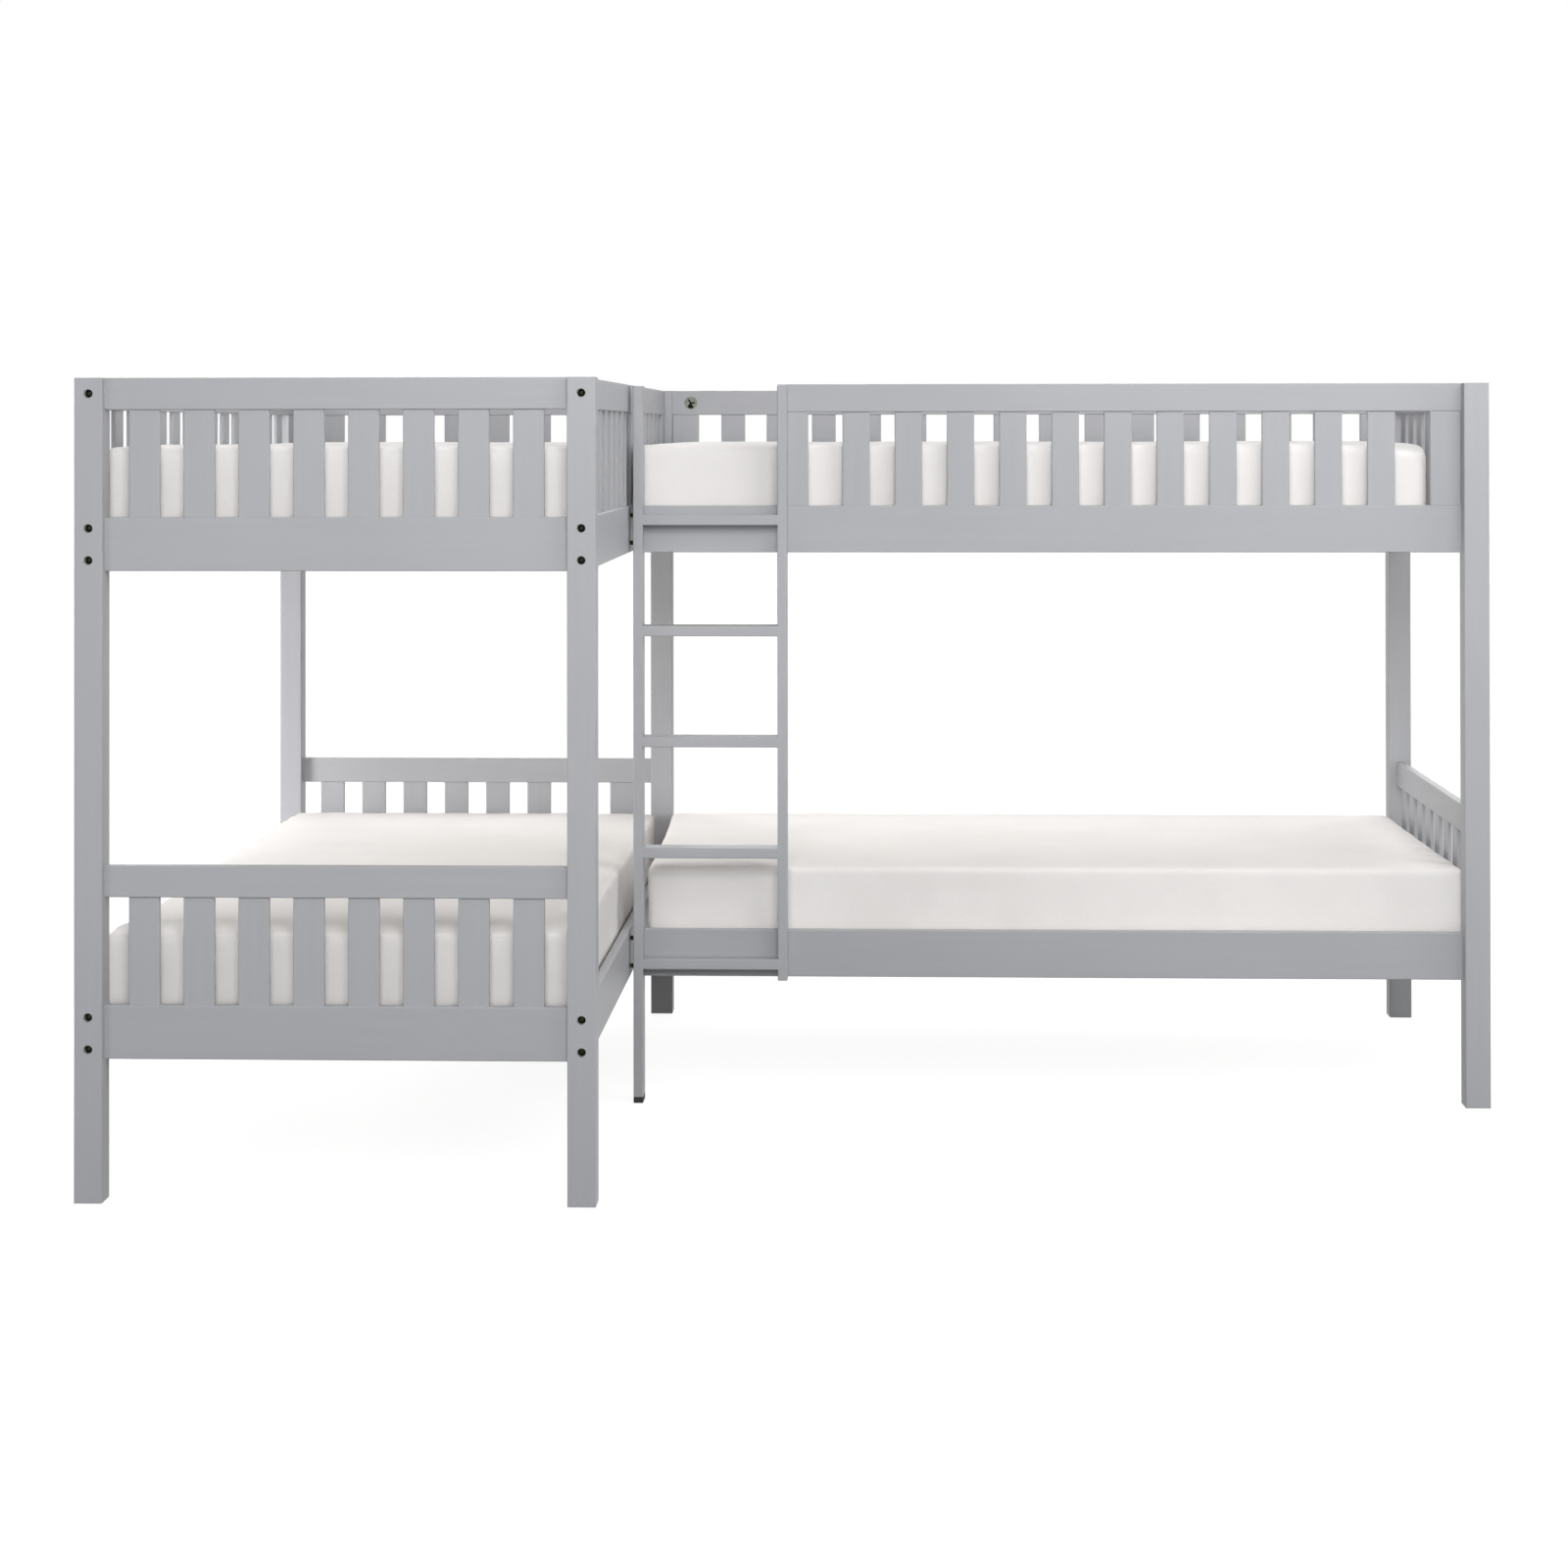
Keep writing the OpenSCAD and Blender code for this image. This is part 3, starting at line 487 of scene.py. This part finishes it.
@dataclass
class Joinery:
    """The painted wooden frame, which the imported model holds."""

    upright_words: tuple[str, ...] = ("post", "slats", "upright")
    across_words: tuple[str, ...] = ("left_front", "left_rear", "rear_", "front_", "ladder_rungs")

    def grain_of(self, node: str) -> Grain:
        """The grain of a painted node, from its name."""
        if any(word in node for word in self.upright_words):
            return Grain.ALONG_Z
        if node.startswith(self.across_words):
            return Grain.ALONG_X
        return Grain.ALONG_Y

    def dress(self, nodes: dict[str, bpy.types.Object], slots: dict[str, str]) -> None:
        """Paints every node of the grey paint slot."""
        for name, piece in nodes.items():
            if slots[name] == "grey_paint":
                GreyPaint(self.grain_of(name)).put_on(piece)
                LOG.info("painted %s", name)


@dataclass
class BedBases:
    """Bare bearers, base boards and dowels."""

    def grain_of(self, node: str) -> Grain:
        """The left bunk's boards and most of the dowels lie along X."""
        return Grain.ALONG_X if node.startswith(("left", "end")) else Grain.ALONG_Y

    def dress(self, nodes: dict[str, bpy.types.Object], slots: dict[str, str]) -> None:
        """Finishes every node of the bare wood slot."""
        for name, piece in nodes.items():
            if slots[name] == "bare_wood":
                BarePine(self.grain_of(name)).put_on(piece)
                LOG.info("finished %s", name)


@dataclass
class Fittings:
    """Bolts, nuts, cams, spacers and the ladder's foot pad."""

    def finish_of(self, slot: str) -> Finish | None:
        """The finish of a fitting's slot."""
        return {"dark_steel": DARK_STEEL, "zinc": ZINC, "black_rubber": BlackRubber()}.get(slot)

    def dress(self, nodes: dict[str, bpy.types.Object], slots: dict[str, str]) -> None:
        """Finishes every metal and rubber node."""
        for name, piece in nodes.items():
            finish = self.finish_of(slots[name])
            if name == "cam_housings":
                finish = CamZinc(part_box(name)[0][1])
            if finish is not None:
                finish.put_on(piece)
                LOG.info("finished %s", name)


# ----------------------------------------------------------------- mattresses


@dataclass(frozen=True)
class Slump:
    """A place where a mattress has gone out of true.

    Attributes:
        place: its middle, in shares of half the mattress's length and width.
        reach: how far round it spreads.
        sink: how far the cover's top sinks in its middle.
        shift: how far its middle moves along the mattress.
    """

    place: tuple[float, float]
    reach: float
    sink: float = 0.0
    shift: float = 0.0

    def move(self, point: Vector, half: Vector) -> Vector:
        """How far a point of the cover moves."""
        across, along = point.y - self.place[1] * half.y, point.x - self.place[0] * half.x
        share = max(0.0, 1.0 - math.hypot(along, across) / self.reach) ** 2
        height = min(max(0.5 + point.z / (2 * half.z), 0.0), 1.0)
        return Vector((share * self.shift, 0.0, -share * height * self.sink))


SLUMPS = {
    "left_lower": (Slump((-0.53, 1.0), 0.7, sink=0.011),),
    "right_upper": (Slump((1.0, -1.0), 0.40, sink=0.024, shift=-0.045),),
    "right_lower": (Slump((1.0, -1.0), 1.0, shift=0.015), Slump((-1.0, 1.0), 0.9, shift=-0.019)),
}


@dataclass(frozen=True)
class Creases:
    """A cover's hollows, creases and rumpled rim.

    Depths and reaches are in metres. A pitch says how fast a noise changes
    along the cover and up it, and a share is of what the walls have.
    """

    wall: float = 0.03
    swell: float = 0.0016
    swell_pitch: tuple[float, float] = (2.1, 6.0)
    crease: float = 0.006
    crease_width: float = 0.16
    crease_pitch: tuple[float, float] = (8.0, 15.0)
    rim_reach: float = 0.035
    rim_height: float = 0.028
    crumple: float = 0.0032
    crumple_sink: float = 0.0008
    crumple_pitch: tuple[float, float] = (21.0, 34.0)
    ripple: float = 0.0011
    ripple_share: float = 0.6
    top_swell_share: float = 1.3
    top_crease_share: float = 0.4


@dataclass(frozen=True)
class Air:
    """How the cloth simulation blows a core up."""

    frames: int = 20
    pressure: float = 4.0
    tension: float = 25.0
    bending: float = 2.0
    quality: int = 5


@dataclass
class Mattress:
    """A foam mattress in a sewn cover, whose upper corners droop.

    A cloth simulation blows the core up and so crowns the cover between its
    sewn rims. All mattresses share that core. Place, long axis, slumps and
    creases are each one's own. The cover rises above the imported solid.
    """

    name: str
    node: str
    seed: float
    rumple: float
    slumps: tuple[Slump, ...] = ()
    creases: Creases = Creases()
    air: Air = Air()
    corner: float = 0.014
    corner_soft: float = 0.007
    corner_steps: int = 8
    edge: float = 0.010
    edge_steps: int = 3
    crown: float = 0.005
    rise: float = 0.008
    droop: float = 0.003
    voxel: float = 0.014
    most_move: float = 0.009
    side_swell: float = 0.15
    held_rim: float = 0.045

    def core(self, half: Vector) -> bpy.types.Mesh:
        """A rounded block on the origin, long along X."""
        shape = bmesh.new()
        bmesh.ops.create_cube(shape, size=2.0)
        bmesh.ops.scale(shape, vec=half, verts=shape.verts)
        upright = [e for e in shape.edges if abs(e.verts[0].co.z - e.verts[1].co.z) > half.z]
        self.round_edges(shape, upright, self.corner, self.corner_steps)
        rim = [
            e for e in shape.edges
            if abs(e.verts[0].co.z - e.verts[1].co.z) < LEVEL and len(e.link_faces) == 2
            and e.calc_face_angle(0.0) > FOLD
        ]
        self.round_edges(shape, rim, self.edge, self.edge_steps)
        mesh = bpy.data.meshes.new("mattress_core")
        shape.to_mesh(mesh)
        shape.free()
        return mesh

    def round_edges(self, shape: bmesh.types.BMesh, edges: list, radius: float, steps: int) -> None:
        """Bevels edges to a round."""
        bmesh.ops.bevel(
            shape, geom=edges, offset=radius, offset_type="OFFSET", segments=steps,
            profile=0.5, affect="EDGES", material=-1, clamp_overlap=True,
        )

    def blown_up(self, half: Vector) -> bpy.types.Mesh:
        """The core in even quads, on its plain form and swollen between its rims."""
        piece = bpy.data.objects.new("mattress_core", self.core(half))
        bpy.context.scene.collection.objects.link(piece)
        remesh = piece.modifiers.new("even", "REMESH")
        remesh.mode = "VOXEL"
        remesh.voxel_size = self.voxel
        self.apply_modifiers(piece)
        rest = [v.co.copy() for v in piece.data.vertices]
        self.simulate(piece)
        for vertex, start in zip(piece.data.vertices, rest):
            form, inset = self.on_form(start, half)
            move = vertex.co - start
            if move.length > self.most_move:
                move = move.normalized() * self.most_move
            rim = max(inset, half.z - abs(form.z))
            hold = min(rim / self.held_rim, 1.0) if form.z > -half.z * BASE_SHARE else 0.0
            lift = move.z * self.crown / self.most_move
            swell = Vector((move.x * self.side_swell, move.y * self.side_swell, lift))
            vertex.co = form + hold * swell
        mesh = piece.data
        bpy.data.objects.remove(piece)
        return mesh

    def on_form(self, point: Vector, half: Vector) -> tuple[Vector, float]:
        """The nearest place on the plain form, a block with rounded corners and rims.

        Args:
            point: a point near the form, on the mattress's own axes.
            half: half the mattress's size, without its crown.

        Returns:
            The place, and how far it lies inside the form's outline.
        """
        over = Vector((abs(point.x) - half.x, abs(point.y) - half.y, 0.0))
        if min(over.x, over.y) > -self.corner:
            spoke = over + Vector((self.corner, self.corner, 0.0))
            way, reach = spoke.normalized(), spoke.length - self.corner
        else:
            way = Vector((1.0, 0.0, 0.0)) if over.x > over.y else Vector((0.0, 1.0, 0.0))
            reach = max(over.x, over.y)
        out, up = reach + self.edge, abs(point.z) - half.z + self.edge
        if out > 0 and up > 0:
            size = math.hypot(out, up)
            new_out, up = out * self.edge / size, up * self.edge / size
        elif up > out:
            new_out, up = out, self.edge
        else:
            new_out = self.edge
        shift = way * (new_out - out)
        place = Vector((
            point.x + math.copysign(1.0, point.x) * shift.x,
            point.y + math.copysign(1.0, point.y) * shift.y,
            math.copysign(half.z - self.edge + up, point.z),
        ))
        return place, self.edge - new_out

    def simulate(self, piece: bpy.types.Object) -> None:
        """A short run of cloth under pressure, without gravity."""
        cloth = piece.modifiers.new("air", "CLOTH")
        cloth.settings.use_pressure = True
        cloth.settings.uniform_pressure_force = self.air.pressure
        cloth.settings.effector_weights.gravity = 0.0
        cloth.settings.tension_stiffness = self.air.tension
        cloth.settings.bending_stiffness = self.air.bending
        cloth.settings.quality = self.air.quality
        cloth.point_cache.frame_start = 1
        cloth.point_cache.frame_end = self.air.frames
        for frame in range(1, self.air.frames + 1):
            bpy.context.scene.frame_set(frame)
        self.apply_modifiers(piece)
        bpy.context.scene.frame_set(1)

    def apply_modifiers(self, piece: bpy.types.Object) -> None:
        """Turns a piece's modifiers into its mesh."""
        graph = bpy.context.evaluated_depsgraph_get()
        made = bpy.data.meshes.new_from_object(piece.evaluated_get(graph))
        piece.modifiers.clear()
        piece.data = made

    def sag(self, point: Vector, half: Vector) -> Vector:
        """How far an upper corner draws in and hangs down at a point."""
        reach = self.corner + self.corner_soft
        over = Vector((abs(point.x) - half.x + reach, abs(point.y) - half.y + reach, 0.0))
        if min(over.x, over.y) <= 0 or point.z <= 0:
            return Vector((0, 0, 0))
        lift = min(1.0, point.z / half.z) ** 2
        turn = math.sin(2 * math.atan2(over.y, over.x)) ** 2
        share = lift * turn * min(1.0, over.length / reach) ** 2
        inward = over.normalized() * (-share * self.corner_soft * (math.sqrt(2) - 1))
        return Vector((
            math.copysign(1.0, point.x) * inward.x,
            math.copysign(1.0, point.y) * inward.y,
            -share * self.droop,
        ))

    def relief(self, point: Vector, half: Vector) -> Vector:
        """How far a point of the cover moves: hollows, creases and a rumpled rim.

        Args:
            point: a point of the cover, on the mattress's own axes.
            half: half the mattress's size, without its crown.

        Returns:
            The move.
        """
        form = self.creases
        inset = min(half.x - abs(point.x), half.y - abs(point.y))
        wall = 1.0 - min(max(inset / form.wall, 0.0), 1.0)
        if abs(point.x) - half.x > abs(point.y) - half.y:
            outward = Vector((math.copysign(1.0, point.x), 0.0, 0.0))
        else:
            outward = Vector((0.0, math.copysign(1.0, point.y), 0.0))
        level, up = form.swell_pitch
        long_way = Vector((point.x * level, point.y * level, point.z * up + self.seed))
        level, up = form.crease_pitch
        short_way = Vector((point.x * level + self.seed, point.y * level, point.z * up))
        level, up = form.crumple_pitch
        tiny = Vector((point.x * level, point.y * level - self.seed, point.z * up))
        swell = noise.noise(long_way) * form.swell
        crease = max(0.0, form.crease_width - abs(noise.noise(short_way))) * -form.crease
        below = (point.z - half.z) / form.rim_height
        rim = math.exp(-((inset / form.rim_reach) ** 2) - below ** 2)
        crumple = self.rumple * rim * (noise.noise(tiny) * form.crumple - form.crumple_sink)
        top = (1.0 - wall) * (1.0 if point.z > 0 else 0.0)
        ripple = noise.noise(short_way * form.ripple_share) * form.ripple
        hollow = swell * form.top_swell_share + crease * form.top_crease_share + ripple
        upward = Vector((0, 0, top * hollow + crumple))
        return outward * (wall * (swell + crease) + crumple) + upward

    def seated(self, point: Vector, half: Vector) -> Vector:
        """Keeps a point inside the mattress's walls and on its base."""
        return Vector((
            min(max(point.x, -half.x), half.x),
            min(max(point.y, -half.y), half.y),
            min(max(point.z, -half.z), half.z + self.crown),
        ))

    def place(self, length_axis: int, middle: Vector) -> Matrix:
        """From the mattress's own axes to its place in the bed."""
        turn = Matrix.Rotation(math.pi / 2, 4, "Z") if length_axis == 1 else Matrix.Identity(4)
        return Matrix.Translation(middle) @ turn

    def build(self, blown: bpy.types.Mesh | None) -> bpy.types.Mesh:
        """Makes the mattress in place of its plain solid.

        Args:
            blown: the shared swollen core, if it is already made.

        Returns:
            The swollen core, for the next mattress.
        """
        low, high = (Vector(corner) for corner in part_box(self.node))
        size = high - low
        length_axis = 0 if size.x > size.y else 1
        height = size.z + self.rise - self.crown
        half = Vector((max(size.x, size.y), min(size.x, size.y), height)) / 2
        if blown is None:
            blown = self.blown_up(half)
        mesh = blown.copy()
        lie = mesh.attributes.new("lie", "FLOAT_VECTOR", "POINT")
        for vertex, mark in zip(mesh.vertices, lie.data):
            point = vertex.co.copy()
            mark.vector = point
            vertex.co = self.seated(point + self.sag(point, half) + self.relief(point, half), half)
            for slump in self.slumps:
                vertex.co += slump.move(point, half)
        middle = Vector(((low.x + high.x) / 2, (low.y + high.y) / 2, low.z + half.z))
        mesh.transform(self.place(length_axis, middle))
        mesh.shade_smooth()
        cover = bpy.data.objects.new(self.name, mesh)
        bpy.context.scene.collection.objects.link(cover)
        subdivision = cover.modifiers.new("soft", "SUBSURF")
        subdivision.levels = subdivision.render_levels = 1
        Ticking().put_on(cover)
        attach(cover, BODY)
        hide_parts(self.node)
        LOG.info("made %s, %.3f by %.3f m", self.name, 2 * half.x, 2 * half.y)
        return blown


# --------------------------------------------------------------------- studio


@dataclass
class Lamp:
    """A soft square lamp that looks at a point."""

    name: str
    place: Vector
    aim: Vector
    size: float
    watts: float

    def hang(self) -> None:
        """Puts the lamp in the scene."""
        light = bpy.data.lights.new(self.name, "AREA")
        light.shape = "SQUARE"
        light.size = self.size
        light.energy = self.watts
        lamp = bpy.data.objects.new(self.name, light)
        lamp.location = self.place
        lamp.rotation_euler = (self.aim - self.place).to_track_quat("-Z", "Y").to_euler()
        lamp.visible_camera = False
        bpy.context.scene.collection.objects.link(lamp)


@dataclass
class Sky:
    """Soft, even light from one direction."""

    name: str
    bearing: float
    height: float
    spread: float
    strength: float

    def hang(self) -> None:
        """Puts the light in the scene. Bearing 0 is from the front, 90 from the right."""
        light = bpy.data.lights.new(self.name, "SUN")
        light.angle = math.radians(self.spread)
        light.energy = self.strength
        bearing, height = math.radians(self.bearing), math.radians(self.height)
        level = Vector((math.sin(bearing), -math.cos(bearing), 0.0)) * math.cos(height)
        lamp = bpy.data.objects.new(self.name, light)
        way = level + Vector((0, 0, math.sin(height)))
        lamp.rotation_euler = way.to_track_quat("Z", "Y").to_euler()
        bpy.context.scene.collection.objects.link(lamp)


@dataclass
class Studio:
    """White floor, soft light and the camera."""

    ambient: float = 0.05
    floor_glow: float = 0.90
    floor_colour: Colour = (0.25, 0.25, 0.25)
    floor_reach: float = 60.0
    camera_place: tuple[float, float, float] = (0.1589, -6.8108, 1.5381)
    camera_yaw: float = -0.0345
    camera_pitch: float = 0.0071
    camera_roll: float = -0.0013
    focal: float = 67.22
    sensor: float = 36.0
    shift: tuple[float, float] = (-0.0104, -0.2370)

    def seen_directly(self, bench: Bench) -> Wire:
        """1 for rays from the camera, mirrors and glass."""
        path = bench.node("ShaderNodeLightPath", {}, {})
        rays = ("Is Camera Ray", "Is Glossy Ray", "Is Transmission Ray")
        first, *rest = (Wire(bench, path.outputs[ray]) for ray in rays)
        for ray in rest:
            first = first.math("MAXIMUM", ray)
        return first

    def build_world(self) -> None:
        """White where it is seen, a dim even sky where it lights."""
        world = bpy.data.worlds.new("studio")
        world.use_nodes = True
        bench = Bench(world.node_tree)
        strength = self.seen_directly(bench) * (1.0 - self.ambient) + self.ambient
        sky = bench.wire("ShaderNodeBackground", {}, {"Color": (1, 1, 1, 1), "Strength": strength})
        bench.node("ShaderNodeOutputWorld", {}, {"Surface": sky})
        bpy.context.scene.world = world

    def build_floor(self) -> None:
        """A wide pale floor that keeps the bed's shadow."""
        shape = bmesh.new()
        bmesh.ops.create_grid(shape, x_segments=1, y_segments=1, size=self.floor_reach)
        mesh = bpy.data.meshes.new("floor")
        shape.to_mesh(mesh)
        shape.free()
        floor = bpy.data.objects.new("floor", mesh)
        bpy.context.scene.collection.objects.link(floor)
        material = bpy.data.materials.new("floor")
        material.use_nodes = True
        bench = Bench(material.node_tree)
        matt = bench.wire("ShaderNodeBsdfDiffuse", {}, {"Color": (*self.floor_colour, 1.0)})
        glow = bench.wire(
            "ShaderNodeEmission", {},
            {"Color": (1, 1, 1, 1), "Strength": self.seen_directly(bench) * self.floor_glow},
        )
        both = bench.wire("ShaderNodeAddShader", {}, {0: matt, 1: glow})
        bench.node("ShaderNodeOutputMaterial", {}, {"Surface": both})
        floor.data.materials.append(material)

    def hang_lamps(self) -> None:
        """A high front lamp, weaker ones on each side and weak light from behind."""
        middle = Vector((0.3, 0.0, 0.9))
        left_rear = Vector((-1.1, 1.95, 0.8))
        for lamp in (
            Lamp("key", Vector((0.3, -5.5, 3.4)), middle, 2.5, 178.0),
            Lamp("right_high", Vector((2.2, -2.2, 3.2)), Vector((0.8, 0.2, 0.9)), 2.0, 43.0),
            Lamp("right_low", Vector((4.2, -0.8, 1.4)), Vector((1.0, 0.3, 0.9)), 1.6, 35.0),
            Lamp("left_front", Vector((-3.4, -4.0, 0.8)), Vector((-0.6, -0.9, 0.9)), 1.4, 22.0),
            Lamp("left_side", Vector((-4.2, -0.8, 1.4)), Vector((-1.0, 0.3, 0.9)), 1.6, 20.0),
            Lamp("left_rear", Vector((-2.7, 0.2, 0.8)), left_rear, 0.5, 26.0),
            Sky("ahead", 0.0, 2.0, 20.0, 0.15),
            Sky("behind", 180.0, 45.0, 60.0, 2.15),
        ):
            lamp.hang()

    def aim_camera(self) -> None:
        """The photograph's camera: level, with a lowered view."""
        yaw, pitch, roll = self.camera_yaw, self.camera_pitch, self.camera_roll
        level = Vector((math.sin(yaw), math.cos(yaw), 0.0))
        right = Vector((math.cos(yaw), -math.sin(yaw), 0.0))
        ahead = level * math.cos(pitch) + Vector((0, 0, math.sin(pitch)))
        above = -level * math.sin(pitch) + Vector((0, 0, math.cos(pitch)))
        side = right * math.cos(roll) + above * math.sin(roll)
        top = -right * math.sin(roll) + above * math.cos(roll)
        turn = Matrix((side, top, -ahead)).transposed().to_4x4()
        data = bpy.data.cameras.new("camera")
        data.sensor_width = self.sensor
        data.lens = self.focal
        data.shift_x, data.shift_y = self.shift
        camera = bpy.data.objects.new("camera", data)
        camera.matrix_world = Matrix.Translation(self.camera_place) @ turn
        bpy.context.scene.collection.objects.link(camera)
        bpy.context.scene.camera = camera

    def build(self) -> None:
        """Sets up everything round the bed."""
        bpy.context.scene.view_settings.view_transform = "Standard"
        self.build_world()
        self.build_floor()
        self.hang_lamps()
        self.aim_camera()
        LOG.info("studio ready")


# ----------------------------------------------------------------------- main


def main() -> None:
    """Loads the frame, then dresses it piece by piece."""
    logging.basicConfig(level=logging.INFO, format="%(name)s: %(message)s")
    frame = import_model()
    Studio().build()
    nodes = frame["nodes"]
    slots = {row["node"]: row["material_slot"] for row in frame["record"]["subparts"]}
    for trade in (Joinery(), BedBases(), Fittings()):
        trade.dress(nodes, slots)
    blown = None
    for seed, name in enumerate(("left_upper", "left_lower", "right_upper", "right_lower")):
        rumple = RUMPLED if name == "left_lower" else NEAT
        cover, node, slumps = f"{name}_cover", f"{name}_mattress", SLUMPS.get(name, ())
        start = SEED_STEP * seed + SEED_START
        blown = Mattress(cover, node, start, rumple, slumps).build(blown)


if __name__ == "__main__":
    main()
